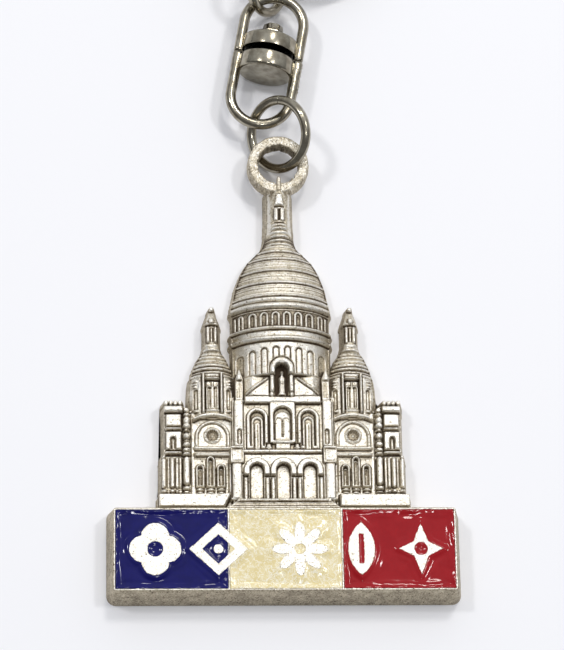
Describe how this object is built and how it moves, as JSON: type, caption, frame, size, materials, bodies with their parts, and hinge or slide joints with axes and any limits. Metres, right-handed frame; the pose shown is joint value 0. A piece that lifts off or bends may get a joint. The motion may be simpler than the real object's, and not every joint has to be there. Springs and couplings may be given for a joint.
{
  "type": "souvenir keychain",
  "caption": "Cast charm with a domed basilica in relief over an enamelled plate, hung by jump rings and a riveted swivel from a split key ring.",
  "frame": {"origin": "on the charm's flat back, under the middle of the building's ground line, where the name plate begins", "axes": "+X to the building's right as the front is seen, +Y up the building towards the rings, +Z out of the front"},
  "size_m": [0.0436, 0.1066, 0.0086],
  "materials": {
    "antique_nickel": "antique nickel over a cast zinc alloy, bright on the high places and dark in the recesses",
    "blue_enamel": "glossy navy enamel, poured and slightly wavy",
    "cream_enamel": "glossy cream enamel with a fine wrinkle",
    "red_enamel": "glossy deep red enamel, poured and slightly wavy",
    "polished_nickel": "polished nickel plate on steel"
  },
  "bodies": {
    "charm": {"charm_casting": "antique_nickel", "enamel_blue": "blue_enamel", "enamel_cream": "cream_enamel", "enamel_red": "red_enamel"},
    "lower_ring": {"lower_jump_ring": "polished_nickel"},
    "swivel_lower": {"swivel_lower_bow": "polished_nickel", "swivel_lower_disc": "polished_nickel", "swivel_rivet": "polished_nickel"},
    "swivel_upper": {"swivel_upper_disc": "polished_nickel", "swivel_upper_bow": "polished_nickel"},
    "upper_ring": {"upper_jump_ring": "polished_nickel"},
    "key_ring": {"split_key_ring": "polished_nickel"}
  },
  "joints": [
    {"name": "ring_in_eye", "type": "hinge", "parent": "charm", "child": "lower_ring", "pos_m": [0, 0.04554, 0.00299], "axis": [0, 0, 1], "range_deg": [-25, 25]},
    {"name": "swivel_on_ring", "type": "hinge", "parent": "lower_ring", "child": "swivel_lower", "pos_m": [0.00009, 0.04958, 0.00417], "axis": [0.6562, 0.2826, -0.6997], "range_deg": [0, 40]},
    {"name": "swivel_spin", "type": "hinge", "parent": "swivel_lower", "child": "swivel_upper", "pos_m": [-0.0015, 0.05815, 0.00355], "axis": [0.1822, 0.9833, 0], "continuous": true},
    {"name": "ring_in_bow", "type": "hinge", "parent": "swivel_upper", "child": "upper_ring", "pos_m": [-0.00117, 0.07142, 0.00434], "axis": [-0.8231, 0.175, -0.5402], "range_deg": [-30, 0]},
    {"name": "key_ring_turn", "type": "hinge", "parent": "upper_ring", "child": "key_ring", "pos_m": [0.003, 0.08288, 0.00212], "axis": [0.0298, 0.0819, 0.9962], "range_deg": [-70, 70]}
  ]
}
